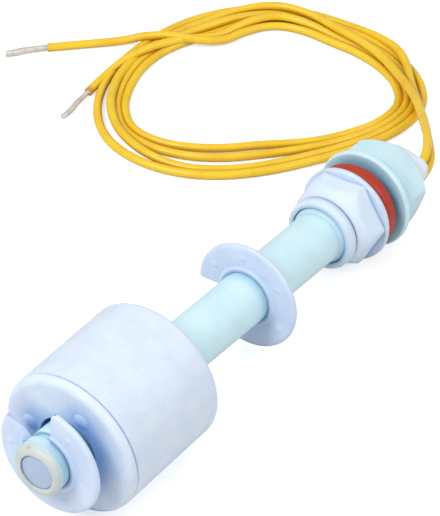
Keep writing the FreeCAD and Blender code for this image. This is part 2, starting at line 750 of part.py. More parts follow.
def main():
    """Write one STEP file for each piece."""
    os.makedirs("parts", exist_ok=True)
    for name, shape in assembly().items():
        solids = shape.Solids
        print(name, "solids", len(solids), "valid", shape.isValid(), "volume", round(shape.Volume, 2))
        shape = solids[0] if len(solids) == 1 else shape
        shape.exportStep(os.path.join("parts", name + ".step"))


main()
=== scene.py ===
"""Looks of the float level switch: camera, lamps, leads, moulding details and finishes."""
import logging
import math
from dataclasses import dataclass
from enum import Enum
from typing import Callable, Protocol, Sequence

import bmesh
import bpy
from mathutils import Matrix, Vector


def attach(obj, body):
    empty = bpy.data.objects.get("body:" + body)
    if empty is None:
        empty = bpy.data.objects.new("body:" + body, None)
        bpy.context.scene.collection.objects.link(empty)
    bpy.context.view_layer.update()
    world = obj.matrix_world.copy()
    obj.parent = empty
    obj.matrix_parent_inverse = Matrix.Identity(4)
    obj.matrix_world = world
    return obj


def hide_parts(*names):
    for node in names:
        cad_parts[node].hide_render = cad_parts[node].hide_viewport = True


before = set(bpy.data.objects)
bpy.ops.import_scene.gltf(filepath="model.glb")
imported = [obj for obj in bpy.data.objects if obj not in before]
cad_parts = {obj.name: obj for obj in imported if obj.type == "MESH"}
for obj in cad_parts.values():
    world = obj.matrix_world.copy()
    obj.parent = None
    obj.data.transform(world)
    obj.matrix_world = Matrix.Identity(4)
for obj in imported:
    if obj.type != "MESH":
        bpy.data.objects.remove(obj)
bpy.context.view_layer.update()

log = logging.getLogger("float_switch")

MM = 0.001
SLOPE = math.radians(2.9095)
STEM_TIP = Vector((-47.0239, 0.0, 12.5073))
FULL_TURN = 2 * math.pi
SHARP_EDGE = math.radians(48)
TURN_SEGMENTS = 120
THREAD_DEPTH = 0.9
CREVICE_SAMPLES = 8
CREVICE_RANGE = (0.3, 0.95)
MIX_COLOUR_INPUTS = (6, 7)
MIX_COLOUR_OUTPUT = 2
Triple = tuple[float, float, float]
Socket = bpy.types.NodeSocket


class Body(Enum):
    """Moving groups of the CAD frame; every piece made here rides on the stem."""

    STEM = "stem"
    MAGNET = "magnet"
    FLOAT = "float"
    GASKET = "gasket"
    NUT = "nut"


def on_stem(station: float, across: float, up: float) -> Vector:
    """Place of a point of the stem.

    Args:
        station: Millimetres along the stem from its tip.
        across: Millimetres to the side of the stem's axis.
        up: Millimetres above the stem's axis.

    Returns:
        The point in the part's frame, in metres.
    """
    turn = Matrix.Rotation(SLOPE, 3, "Y")
    return (STEM_TIP + turn @ Vector((station, across, up))) * MM


def around_stem(station: float, radius: float, degrees: float) -> Vector:
    """Place of a point at an angle round the stem.

    Args:
        station: Millimetres along the stem from its tip.
        radius: Millimetres from the stem's axis.
        degrees: Angle from the side towards the coil, upwards.

    Returns:
        The point in the part's frame, in metres.
    """
    angle = math.radians(degrees)
    return on_stem(station, radius * math.cos(angle), radius * math.sin(angle))


@dataclass(frozen=True)
class Lumps:
    """Noise pattern that breaks up a colour, a gloss or a surface.

    Attributes:
        size: Size of the lumps in millimetres.
        detail: Octaves of detail.
        roughness: Weight of the finer octaves.
        low: Noise value where the pattern starts to show.
        high: Noise value where it shows in full.
        share: Its share where it shows in full.
        stretch: Scale of the pattern along each axis, or None.
    """

    size: float
    detail: float
    roughness: float
    low: float = 0.3
    high: float = 0.7
    share: float = 1.0
    stretch: Triple | None = None


class Shader:
    """Node tree of one material, with sockets in millimetres along the stem."""

    def __init__(self, name: str) -> None:
        """Start an empty material.

        Args:
            name: Name of the material.
        """
        self.material = bpy.data.materials.new(name)
        self.material.use_nodes = True
        self.tree = self.material.node_tree
        self.surface = self.tree.nodes["Principled BSDF"]
        place = self.tree.nodes.new("ShaderNodeTexCoord")
        self.place = self.node("ShaderNodeMapping", {"Vector": place.outputs["Object"]})
        self.place.vector_type = "TEXTURE"
        self.place.inputs["Location"].default_value = STEM_TIP * MM
        self.place.inputs["Rotation"].default_value = (0.0, SLOPE, 0.0)
        self.place.inputs["Scale"].default_value = (MM, MM, MM)
        self.millimetres = self.place.outputs["Vector"]

    def node(self, kind: str, inputs: dict | None = None) -> bpy.types.Node:
        """Add a node.

        Args:
            kind: Type name of the node.
            inputs: Values or source sockets for its inputs, by name or number.

        Returns:
            The new node.
        """
        made = self.tree.nodes.new(kind)
        for key, value in (inputs or {}).items():
            if isinstance(value, Socket):
                self.tree.links.new(value, made.inputs[key])
            else:
                made.inputs[key].default_value = value
        return made

    def set(self, socket: str, value: Socket | Triple | float) -> None:
        """Give the surface a value or a source.

        Args:
            socket: Name of the surface's input.
            value: Number, colour or source socket.
        """
        if isinstance(value, Socket):
            self.tree.links.new(value, self.surface.inputs[socket])
        else:
            self.surface.inputs[socket].default_value = value

    def noise(self, lumps: Lumps) -> Socket:
        """Noise of a pattern, as it comes.

        Args:
            lumps: The pattern.

        Returns:
            The noise's value socket.
        """
        settings = {
            "Vector": self.millimetres, "Scale": 1.0 / lumps.size,
            "Detail": lumps.detail, "Roughness": lumps.roughness,
        }
        if lumps.stretch:
            stretched = {"Vector": self.millimetres, "Scale": lumps.stretch}
            settings["Vector"] = self.node("ShaderNodeMapping", stretched).outputs["Vector"]
        return self.node("ShaderNodeTexNoise", settings).outputs["Fac"]

    def span(
        self, source: Socket, low: float, high: float, to_low: float = 0.0, to_high: float = 1.0,
    ) -> Socket:
        """Stretch part of a value's range over another, smoothly and clamped.

        Args:
            source: Value socket.
            low: Value that gives to_low.
            high: Value that gives to_high.
            to_low: Result at low.
            to_high: Result at high.

        Returns:
            The result's socket.
        """
        settings = {
            "Value": source, "From Min": low, "From Max": high, "To Min": to_low, "To Max": to_high,
        }
        made = self.node("ShaderNodeMapRange", settings)
        made.interpolation_type = "SMOOTHSTEP"
        return made.outputs["Result"]

    def pattern(self, lumps: Lumps) -> Socket:
        """Share that a pattern has from place to place.

        Args:
            lumps: The pattern.

        Returns:
            The share's socket.
        """
        return self.span(self.noise(lumps), lumps.low, lumps.high, 0.0, lumps.share)

    def gloss(self, lumps: Lumps, low: float, high: float) -> None:
        """Let the surface's roughness swing with a pattern.

        Args:
            lumps: The pattern.
            low: Roughness where it doesn't show.
            high: Roughness where it shows in full.
        """
        self.set("Roughness", self.span(self.noise(lumps), lumps.low, lumps.high, low, high))

    def times(self, first: Socket, second: Socket | float) -> Socket:
        """Product of two values.

        Args:
            first: Value socket.
            second: Value socket or number.

        Returns:
            The product's socket.
        """
        return self.calculated("MULTIPLY", first, second)

    def blend(self, share: Socket, first: Socket | Triple, second: Socket | Triple) -> Socket:
        """Mix of two colours.

        Args:
            share: Share of the second colour.
            first: Colour or socket.
            second: Colour or socket.

        Returns:
            The colour's socket.
        """
        made = self.tree.nodes.new("ShaderNodeMix")
        made.data_type = "RGBA"
        self.tree.links.new(share, made.inputs["Factor"])
        for slot, value in zip(MIX_COLOUR_INPUTS, (first, second)):
            if isinstance(value, Socket):
                self.tree.links.new(value, made.inputs[slot])
            else:
                made.inputs[slot].default_value = (*value, 1.0)
        return made.outputs[MIX_COLOUR_OUTPUT]

    def bump(self, height: Socket, depth: float, after: Socket | None = None) -> Socket:
        """Relief from a height pattern.

        Args:
            height: Value socket.
            depth: Depth of the relief in millimetres.
            after: Normal socket of an earlier relief, or None.

        Returns:
            The normal's socket.
        """
        settings = {"Height": height, "Strength": 1.0, "Distance": depth * MM}
        if after is not None:
            settings["Normal"] = after
        return self.node("ShaderNodeBump", settings).outputs["Normal"]

    def occlusion_shade(self, reach: float) -> Socket:
        """Share that grows where nearby surfaces close a place in, used to paint shade there.

        Args:
            reach: Distance in millimetres within which surfaces count.

        Returns:
            The share's socket.
        """
        made = self.node("ShaderNodeAmbientOcclusion", {"Distance": reach * MM})
        made.samples = CREVICE_SAMPLES
        return self.span(made.outputs["AO"], *CREVICE_RANGE, 1.0, 0.0)

    def rounding(self, radius: float) -> Socket:
        """Normal that rounds sharp edges softly.

        Args:
            radius: Radius of the rounding in millimetres.

        Returns:
            The normal's socket.
        """
        return self.node("ShaderNodeBevel", {"Radius": radius * MM}).outputs["Normal"]

    def calculated(self, operation: str, first: Socket, second: Socket | float = 0.0) -> Socket:
        """Result of one operation on values.

        Args:
            operation: Name of the operation.
            first: Value socket.
            second: Value socket or number.

        Returns:
            The result's socket.
        """
        made = self.node("ShaderNodeMath", {0: first, 1: second})
        made.operation = operation
        return made.outputs[0]

    def thread(self, start: float, end: float, pitch: float) -> Socket:
        """Height pattern of a screw thread round the stem.

        Args:
            start: Station where it starts, in millimetres.
            end: Station where it ends, in millimetres.
            pitch: Distance from crest to crest in millimetres.

        Returns:
            The height's socket.
        """
        parts = self.node("ShaderNodeSeparateXYZ", {"Vector": self.millimetres}).outputs
        turn = self.calculated("ARCTAN2", parts["Z"], parts["Y"])
        turn = self.calculated("DIVIDE", turn, FULL_TURN)
        phase = self.calculated("SUBTRACT", self.calculated("DIVIDE", parts["X"], pitch), turn)
        crest = self.calculated("PINGPONG", phase, 0.5)
        behind = self.calculated("GREATER_THAN", parts["X"], start)
        before = self.calculated("LESS_THAN", parts["X"], end)
        return self.times(crest, self.times(behind, before))

    def nearness(self, centre: Triple, radius: float, softness: float) -> Socket:
        """Share that is 1 within a radius of a point and falls to 0 outside it.

        Args:
            centre: Station, side and height of the point in millimetres.
            radius: Radius in millimetres.
            softness: Width of the fall in millimetres.

        Returns:
            The share's socket.
        """
        made = self.node("ShaderNodeVectorMath", {0: self.millimetres, 1: centre})
        made.operation = "DISTANCE"
        return self.span(made.outputs["Value"], radius, radius + softness, 1.0, 0.0)


@dataclass(frozen=True)
class Mark:
    """One scuff, stain or shaded place on a surface.

    Attributes:
        centre: Station, side and height in millimetres.
        radius: Radius in millimetres.
        softness: Width of its soft edge in millimetres.
        colour: Its colour.
        strength: Its share at the middle.
        broken: Size in millimetres of the pattern that breaks it up, or 0.
    """

    centre: Triple
    radius: float
    softness: float
    colour: Triple
    strength: float = 1.0
    broken: float = 0.0


class Finish(Protocol):
    """Anything that can make a material.

    Attributes:
        name: Name of the material.
    """

    name: str

    def build(self) -> bpy.types.Material:
        """Make the material."""


MOULD_POWDER = Lumps(0.55, 3.0, 0.7, low=0.5, high=0.75, share=0.35)
MOULD_GLOSS = Lumps(1.8, 4.0, 0.65)
MOULD_SCRATCHES = Lumps(0.35, 2.0, 0.5, low=0.6, high=0.75, stretch=(0.16, 1.0, 1.0))
MOULD_WAVES = Lumps(6.0, 1.0, 0.4)
MOULD_GRAIN = Lumps(0.22, 3.0, 0.6)


@dataclass(frozen=True)
class MouldedPlastic:
    """Moulded plastic: mottled colour, specks, fine grain, flow waviness, handling marks and
    painted shade.

    Attributes:
        name: Name of the material.
        colour: Main colour.
        shade: Colour of the mottling.
        mottle: Size of the mottling in millimetres.
        speck: Colour of the rare specks.
        specks: Lower noise bound of the specks; higher means fewer.
        speck_edge: Noise range over which a speck fades in.
        powder: Factor and lift that make the powdery places lighter.
        roughness: Mean roughness.
        spread: Swing of the roughness.
        grain: Depth of the fine grain in millimetres.
        scratch: Depth of the scratches as a share of the grain's.
        wave: Depth of the moulded waviness in millimetres.
        depth: Share of light that passes below the surface.
        scatter: How far that light spreads, in millimetres.
        specular: Strength of the surface's reflection.
        shade_colour: Colour of the painted shade in hollow places.
        reach: Distance in millimetres within which a surface makes a hollow.
        hollow: Share of the painted shade's colour in the deepest hollow.
        rounding: Radius in millimetres to which sharp edges are worn, or 0.
        fade: Stations where another colour starts and is full, and the colour, or None.
        thread: First station, last station and pitch of a screw thread, or None.
        marks: Scuffs and stains.
    """

    name: str
    colour: Triple
    shade: Triple
    mottle: float = 5.0
    speck: Triple = (0.45, 0.45, 0.5)
    specks: float = 0.76
    speck_edge: float = 0.06
    powder: tuple[float, float] = (1.06, 0.01)
    roughness: float = 0.5
    spread: float = 0.08
    grain: float = 0.012
    scratch: float = 0.6
    wave: float = 0.05
    depth: float = 0.12
    scatter: float = 1.2
    specular: float = 0.4
    shade_colour: Triple = (0.13, 0.30, 0.60)
    reach: float = 4.0
    hollow: float = 0.75
    rounding: float = 0.0
    fade: tuple[float, float, Triple] | None = None
    thread: Triple | None = None
    marks: tuple[Mark, ...] = ()

    def mottled(self, shader: Shader) -> Socket:
        """Colour with its mottling, powdery places and specks.

        Args:
            shader: The material's shader.

        Returns:
            The colour's socket.
        """
        cloud = Lumps(self.mottle, 4.0, 0.6, low=0.35, high=0.68)
        colour = shader.blend(shader.pattern(cloud), self.colour, self.shade)
        gain, lift = self.powder
        lighter = tuple(min(1.0, value * gain + lift) for value in self.colour)
        colour = shader.blend(shader.pattern(MOULD_POWDER), colour, lighter)
        full = self.specks + self.speck_edge
        speck = Lumps(0.45, 1.0, 0.3, low=self.specks, high=full, share=0.4)
        return shader.blend(shader.pattern(speck), colour, self.speck)

    def marked(self, shader: Shader, colour: Socket) -> Socket:
        """Colour with its scuffs and stains.

        Args:
            shader: The material's shader.
            colour: The colour without them.

        Returns:
            The colour's socket.
        """
        for mark in self.marks:
            share = shader.nearness(mark.centre, mark.radius, mark.softness)
            if mark.broken:
                breaks = Lumps(mark.broken, 3.0, 0.6, low=0.36, high=0.58)
                share = shader.times(share, shader.pattern(breaks))
            colour = shader.blend(shader.times(share, mark.strength), colour, mark.colour)
        return colour

    def relief(self, shader: Shader) -> Socket:
        """Surface with worn edges, thread, waviness, scratches and grain.

        Args:
            shader: The material's shader.

        Returns:
            The normal's socket.
        """
        scratches = shader.pattern(MOULD_SCRATCHES)
        worn = shader.rounding(self.rounding) if self.rounding else None
        if self.thread:
            worn = shader.bump(shader.thread(*self.thread), THREAD_DEPTH, worn)
        waves = shader.bump(shader.noise(MOULD_WAVES), self.wave, worn)
        scored = shader.bump(scratches, self.grain * self.scratch, waves)
        return shader.bump(shader.noise(MOULD_GRAIN), self.grain, scored)

    def build(self) -> bpy.types.Material:
        """Make the material.

        Returns:
            The material.
        """
        shader = Shader(self.name)
        colour = self.mottled(shader)
        if self.fade:
            first, full, beyond = self.fade
            parts = shader.node("ShaderNodeSeparateXYZ", {"Vector": shader.millimetres})
            colour = shader.blend(shader.span(parts.outputs["X"], first, full), colour, beyond)
        # Painted shade: places closed in by nearby surfaces are darkened towards the shade colour.
        shaded_hollows = shader.times(shader.occlusion_shade(self.reach), self.hollow)
        colour = shader.blend(shaded_hollows, colour, self.shade_colour)
        shader.set("Base Color", self.marked(shader, colour))
        shader.gloss(MOULD_GLOSS, self.roughness - self.spread, self.roughness + self.spread)
        shader.set("Normal", self.relief(shader))
        shader.set("Subsurface Weight", self.depth)
        shader.set("Subsurface Radius", (1.0, 1.0, 1.0))
        shader.set("Subsurface Scale", self.scatter * MM)
        shader.set("Specular IOR Level", self.specular)
        return shader.material


LEAD_WEAR = Lumps(7.0, 3.0, 0.6, low=0.4, high=0.7)
LEAD_DUST = Lumps(0.5, 3.0, 0.7, low=0.58, high=0.8, share=0.15)
LEAD_GLOSS = Lumps(1.4, 4.0, 0.6)
LEAD_WAVES = Lumps(2.6, 2.0, 0.5)
LEAD_GRAIN = Lumps(0.18, 2.0, 0.5)


@dataclass(frozen=True)
class LeadSkin:
    """Glossy lead insulation with faint rubbing, dust, a stained cut end and painted shade between
    strands.

    Attributes:
        name: Name of the material.
        colour: Main colour.
        shade: Colour of the worn and dusty places.
        shade_colour: Colour of the painted shade between strands that touch.
        end: Where the insulation is cut, as station, side and height in millimetres.
        stain: Share of the stain at the cut.
        stained: Colour of the stain.
        stain_radius: Radius within which the stain is full, in millimetres.
        stain_edge: Width of its soft edge in millimetres.
        dust: Colour of the dust.
        reach: Distance in millimetres within which a strand makes a hollow.
        hollow: Share of the painted shade's colour in the deepest hollow.
        roughness: Lowest and highest roughness.
        wave: Depth of the waviness in millimetres.
        grain: Depth of the fine grain in millimetres.
        depth: Share of light that passes below the surface.
        scatter: How far that light spreads, in millimetres.
        specular: Strength of the surface's reflection.
    """

    name: str
    colour: Triple
    shade: Triple
    shade_colour: Triple
    end: Triple
    stain: float
    stained: Triple = (0.55, 0.20, 0.03)
    stain_radius: float = 0.75
    stain_edge: float = 0.6
    dust: Triple = (0.93, 0.74, 0.22)
    reach: float = 1.6
    hollow: float = 0.6
    roughness: tuple[float, float] = (0.26, 0.42)
    wave: float = 0.03
    grain: float = 0.003
    depth: float = 0.08
    scatter: float = 0.8
    specular: float = 0.5

    def build(self) -> bpy.types.Material:
        """Make the material.

        Returns:
            The material.
        """
        shader = Shader(self.name)
        colour = shader.blend(shader.pattern(LEAD_WEAR), self.colour, self.shade)
        colour = shader.blend(shader.pattern(LEAD_DUST), colour, self.dust)
        # Painted shade: strands are darkened where they touch or cross other strands.
        shaded_hollows = shader.times(shader.occlusion_shade(self.reach), self.hollow)
        colour = shader.blend(shaded_hollows, colour, self.shade_colour)
        near = shader.nearness(self.end, self.stain_radius, self.stain_edge)
        cut = shader.times(near, self.stain)
        shader.set("Base Color", shader.blend(cut, colour, self.stained))
        shader.gloss(LEAD_GLOSS, *self.roughness)
        waves = shader.bump(shader.noise(LEAD_WAVES), self.wave)
        shader.set("Normal", shader.bump(shader.noise(LEAD_GRAIN), self.grain, waves))
        shader.set("Subsurface Weight", self.depth)
        shader.set("Subsurface Scale", self.scatter * MM)
        shader.set("Specular IOR Level", self.specular)
        return shader.material


METAL_DULL = Lumps(0.9, 4.0, 0.7, low=0.42, high=0.68)
METAL_GLOSS = Lumps(0.5, 3.0, 0.6)
METAL_LINES = Lumps(0.3, 2.0, 0.5, stretch=(0.3, 1.0, 1.0))
METAL_GRAIN = Lumps(0.12, 2.0, 0.5)


@dataclass(frozen=True)
class Metal:
    """Drawn, tinned or ground metal.

    Attributes:
        name: Name of the material.
        colour: Main colour.
        tarnish: Colour of the dull places.
        roughness: Mean roughness.
        relief: Depth of the lumps in millimetres.
        metallic: Share of metal reflection.
        bright: Roughness of the brightest places, as a share of the mean.
        dull: Roughness of the dullest places, as a share of the mean.
        grain: Depth of the fine grain, as a share of the lumps'.
    """

    name: str
    colour: Triple
    tarnish: Triple
    roughness: float
    relief: float
    metallic: float = 1.0
    bright: float = 0.75
    dull: float = 1.35
    grain: float = 0.3

    def build(self) -> bpy.types.Material:
        """Make the material.

        Returns:
            The material.
        """
        shader = Shader(self.name)
        colour = shader.blend(shader.pattern(METAL_DULL), self.colour, self.tarnish)
        shader.set("Base Color", colour)
        low, high = self.roughness * self.bright, min(1.0, self.roughness * self.dull)
        shader.gloss(METAL_GLOSS, low, high)
        lines = shader.bump(shader.noise(METAL_LINES), self.relief)
        fine = shader.bump(shader.noise(METAL_GRAIN), self.relief * self.grain, lines)
        shader.set("Normal", fine)
        shader.set("Metallic", self.metallic)
        return shader.material


RUBBER_BLOOM = Lumps(2.2, 4.0, 0.65, low=0.45, high=0.75, share=0.5)
RUBBER_GLOSS = Lumps(0.9, 3.0, 0.6)
RUBBER_WAVES = Lumps(1.6, 2.0, 0.5)
RUBBER_PITS = Lumps(0.16, 2.0, 0.5)


@dataclass(frozen=True)
class Rubber:
    """Silicone rubber with bloom, fine pitting and painted shade where nearby surfaces close it in.

    Attributes:
        name: Name of the material.
        colour: Main colour.
        bloom: Colour of the dusty bloom.
        shade_colour: Colour of the painted shade in each gap.
        reach: Distance in millimetres within which a surface makes a gap.
        hollow: Share of the painted shade's colour in the deepest gap.
        roughness: Lowest and highest roughness.
        wave: Depth of the waviness in millimetres.
        pits: Depth of the pitting in millimetres.
        specular: Strength of the surface's reflection.
    """

    name: str
    colour: Triple
    bloom: Triple
    shade_colour: Triple = (0.16, 0.02, 0.03)
    reach: float = 1.2
    hollow: float = 0.8
    roughness: tuple[float, float] = (0.36, 0.55)
    wave: float = 0.03
    pits: float = 0.01
    specular: float = 0.45

    def build(self) -> bpy.types.Material:
        """Make the material.

        Returns:
            The material.
        """
        shader = Shader(self.name)
        colour = shader.blend(shader.pattern(RUBBER_BLOOM), self.colour, self.bloom)
        # Painted shade: each gap between the rubber and nearby surfaces is darkened towards the
        # shade colour.
        shaded_gaps = shader.times(shader.occlusion_shade(self.reach), self.hollow)
        shader.set("Base Color", shader.blend(shaded_gaps, colour, self.shade_colour))
        shader.gloss(RUBBER_GLOSS, *self.roughness)
        waves = shader.bump(shader.noise(RUBBER_WAVES), self.wave)
        shader.set("Normal", shader.bump(shader.noise(RUBBER_PITS), self.pits, waves))
        shader.set("Specular IOR Level", self.specular)
        return shader.material


GLASS_DUST = Lumps(0.4, 3.0, 0.6, low=0.5, high=0.75, share=0.3)
GLASS_GLOSS = Lumps(0.8, 3.0, 0.6, low=0.35)
GLASS_WAVES = Lumps(1.2, 1.0, 0.4)


@dataclass(frozen=True)
class ClearGlass:
    """Drawn glass of the reed switch, faintly green, with dust and a slight waviness.

    Attributes:
        name: Name of the material.
        colour: Tint.
        dust: Colour of the dust.
        clear: Share of light that passes through.
        bending: Refractive index.
        roughness: Lowest and highest roughness.
        wave: Depth of the waviness in millimetres.
    """

    name: str
    colour: Triple
    dust: Triple = (0.95, 0.97, 0.95)
    clear: float = 0.9
    bending: float = 1.5
    roughness: tuple[float, float] = (0.03, 0.14)
    wave: float = 0.01

    def build(self) -> bpy.types.Material:
        """Make the material.

        Returns:
            The material.
        """
        shader = Shader(self.name)
        shader.set("Transmission Weight", self.clear)
        shader.set("IOR", self.bending)
        shader.set("Base Color", shader.blend(shader.pattern(GLASS_DUST), self.colour, self.dust))
        shader.gloss(GLASS_GLOSS, *self.roughness)
        shader.set("Normal", shader.bump(shader.noise(GLASS_WAVES), self.wave))
        return shader.material


@dataclass(frozen=True)
class Lamp:
    """Area lamp.

    Attributes:
        name: Name of the lamp.
        place: Where it stands, in metres.
        aim: What it points at, in metres.
        size: Edge of its square in metres.
        power: Watts.
        colour: Its colour.
    """

    name: str
    place: Triple
    aim: Triple
    size: float
    power: float
    colour: Triple = (1.0, 1.0, 1.0)

    def build(self) -> bpy.types.Object:
        """Make the lamp.

        Returns:
            The lamp's object.
        """
        data = bpy.data.lights.new(self.name, "AREA")
        data.size, data.energy, data.color = self.size, self.power, self.colour
        made = bpy.data.objects.new(self.name, data)
        made.location = self.place
        towards = Vector(self.aim) - Vector(self.place)
        made.rotation_euler = towards.to_track_quat("-Z", "Y").to_euler()
        bpy.context.scene.collection.objects.link(made)
        return made


@dataclass
class Studio:
    """Camera, lamps, world and white floor.

    Attributes:
        lens: Focal length in millimetres.
        sensor: Width of the camera's sensor in millimetres.
        sight: Nearest and farthest distance that the camera sees, in metres.
        place: The camera's place in metres.
        tilt: The camera's angle from straight down, in degrees.
        heading: The camera's turn about the vertical, in degrees.
        daylight: Strength of the world's even light.
        glow: Strength that the camera sees in the floor, on top of the light that falls on it.
        floor_edge: Half the floor's edge in metres.
        floor_grey: The floor's own brightness.
        floor_roughness: The floor's roughness.
        floor_specular: Strength of the floor's reflection.
        lamps: The lamps.
    """

    lens: float = 197.156
    sensor: float = 36.0
    sight: tuple[float, float] = (0.01, 20.0)
    place: Triple = (-0.259070, -0.187971, 0.286567)
    tilt: float = 50.183
    heading: float = -53.695
    daylight: float = 0.5
    glow: float = 0.6
    floor_edge: float = 3.0
    floor_grey: float = 0.75
    floor_roughness: float = 0.9
    floor_specular: float = 0.1
    lamps: tuple[Lamp, ...] = (
        Lamp("key", (-0.34, 0.12, 0.48), (0.0, 0.0, 0.0), 0.30, 2.1),
        Lamp("fill", (0.12, -0.42, 0.40), (0.02, 0.0, 0.01), 0.30, 0.9),
    )

    def camera(self) -> None:
        """Set up the camera of the photo."""
        data = bpy.data.cameras.new("photo_camera")
        data.lens, data.sensor_width, data.sensor_fit = self.lens, self.sensor, "AUTO"
        data.clip_start, data.clip_end = self.sight
        made = bpy.data.objects.new("photo_camera", data)
        made.location = self.place
        made.rotation_euler = (math.radians(self.tilt), 0.0, math.radians(self.heading))
        bpy.context.scene.collection.objects.link(made)
        bpy.context.scene.camera = made
        log.info("camera at %s", tuple(self.place))

    def world(self) -> None:
        """White backdrop for what is seen directly or through glass, with an even light level."""
        world = bpy.data.worlds.new("white_room")
        bpy.context.scene.world = world
        world.use_nodes = True
        nodes, links = world.node_tree.nodes, world.node_tree.links
        back = nodes["Background"]
        path = nodes.new("ShaderNodeLightPath")
        seen = nodes.new("ShaderNodeMath")
        seen.operation = "MAXIMUM"
        links.new(path.outputs["Is Camera Ray"], seen.inputs[0])
        links.new(path.outputs["Is Transmission Ray"], seen.inputs[1])
        level = nodes.new("ShaderNodeMapRange")
        level.inputs["To Min"].default_value = self.daylight
        level.inputs["To Max"].default_value = 1.0
        links.new(seen.outputs[0], level.inputs["Value"])
        links.new(level.outputs["Result"], back.inputs["Strength"])
        back.inputs["Color"].default_value = (1.0, 1.0, 1.0, 1.0)

    def floor(self) -> bpy.types.Object:
        """White floor that keeps the shadows.

        Returns:
            The floor's object.
        """
        mesh = bpy.data.meshes.new("white_floor")
        half = self.floor_edge
        corners = [(-half, -half, 0.0), (half, -half, 0.0), (half, half, 0.0), (-half, half, 0.0)]
        mesh.from_pydata(corners, [], [(0, 1, 2, 3)])
        made = bpy.data.objects.new("white_floor", mesh)
        bpy.context.scene.collection.objects.link(made)
        material = bpy.data.materials.new("floor_white")
        material.use_nodes = True
        surface = material.node_tree.nodes["Principled BSDF"]
        surface.inputs["Base Color"].default_value = (*[self.floor_grey] * 3, 1.0)
        surface.inputs["Roughness"].default_value = self.floor_roughness
        surface.inputs["Specular IOR Level"].default_value = self.floor_specular
        surface.inputs["Emission Color"].default_value = (1.0, 1.0, 1.0, 1.0)
        nodes, links = material.node_tree.nodes, material.node_tree.links
        path = nodes.new("ShaderNodeLightPath")
        glow = nodes.new("ShaderNodeMapRange")
        glow.inputs["To Max"].default_value = self.glow
        links.new(path.outputs["Is Camera Ray"], glow.inputs["Value"])
        links.new(glow.outputs["Result"], surface.inputs["Emission Strength"])
        mesh.materials.append(material)
        return made

    def build(self) -> None:
        """Make everything that isn't part of the switch."""
        bpy.context.scene.view_settings.view_transform = "Standard"
        self.camera()
        self.world()
        stage = [self.floor()] + [lamp.build() for lamp in self.lamps]
        log.info("studio: floor and %d lamps", len(self.lamps))


Profile = Sequence[tuple[float, float]]
SegmentShape = Callable[[float, float, float], Vector]


def grid_object(
    name: str, rows: list[list[Vector]], round_turn: bool, ring_profile: bool,
) -> bpy.types.Object:
    """Closed object from rows of points that follow one profile round the stem.

    Args:
        name: Name of the object.
        rows: Points of the profile at each angle, in metres.
        round_turn: True where the last row meets the first.
        ring_profile: True where the profile's last point meets its first.

    Returns:
        The object, smooth apart from its real edges.
    """
    shell = bmesh.new()
    grid = [[shell.verts.new(point) for point in row] for row in rows]
    count, length = len(grid), len(grid[0])
    for index in range(count if round_turn else count - 1):
        here, following = grid[index], grid[(index + 1) % count]
        for step in range(length if ring_profile else length - 1):
            up = (step + 1) % length
            shell.faces.new((here[step], following[step], following[up], here[up]))
    if not round_turn:
        for row in (grid[0], grid[-1]):
            shell.faces.new(row)
    if not ring_profile:
        for step in (0, -1):
            shell.faces.new([row[step] for row in grid])
    bmesh.ops.recalc_face_normals(shell, faces=shell.faces)
    mesh = bpy.data.meshes.new(name)
    shell.to_mesh(mesh)
    shell.free()
    for face in mesh.polygons:
        face.use_smooth = True
    mesh.set_sharp_from_angle(angle=SHARP_EDGE)
    made = bpy.data.objects.new(name, mesh)
    bpy.context.scene.collection.objects.link(made)
    return made


def turned(
    name: str, profile: Profile, shape: SegmentShape, ring_profile: bool,
) -> bpy.types.Object:
    """Object turned from a profile, with its own deviations from round.

    Args:
        name: Name of the object.
        profile: Stations and radii in millimetres.
        shape: Gives a point for a station, a radius and an angle.
        ring_profile: True where the profile's last point meets its first.

    Returns:
        The object.
    """
    angles = [FULL_TURN * index / TURN_SEGMENTS for index in range(TURN_SEGMENTS)]
    rows = [[shape(station, radius, angle) for station, radius in profile] for angle in angles]
    return grid_object(name, rows, True, ring_profile)


def seat(piece: bpy.types.Object, node: str, material: bpy.types.Material) -> None:
    """Let a piece stand for a CAD node of the stem.

    Args:
        piece: The piece.
        node: Name of the node.
        material: The piece's material.
    """
    piece.data.materials.append(material)
    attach(piece, Body.STEM.value)
    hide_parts(node)
    log.info("%s: %d faces, stands for %s", piece.name, len(piece.data.polygons), node)


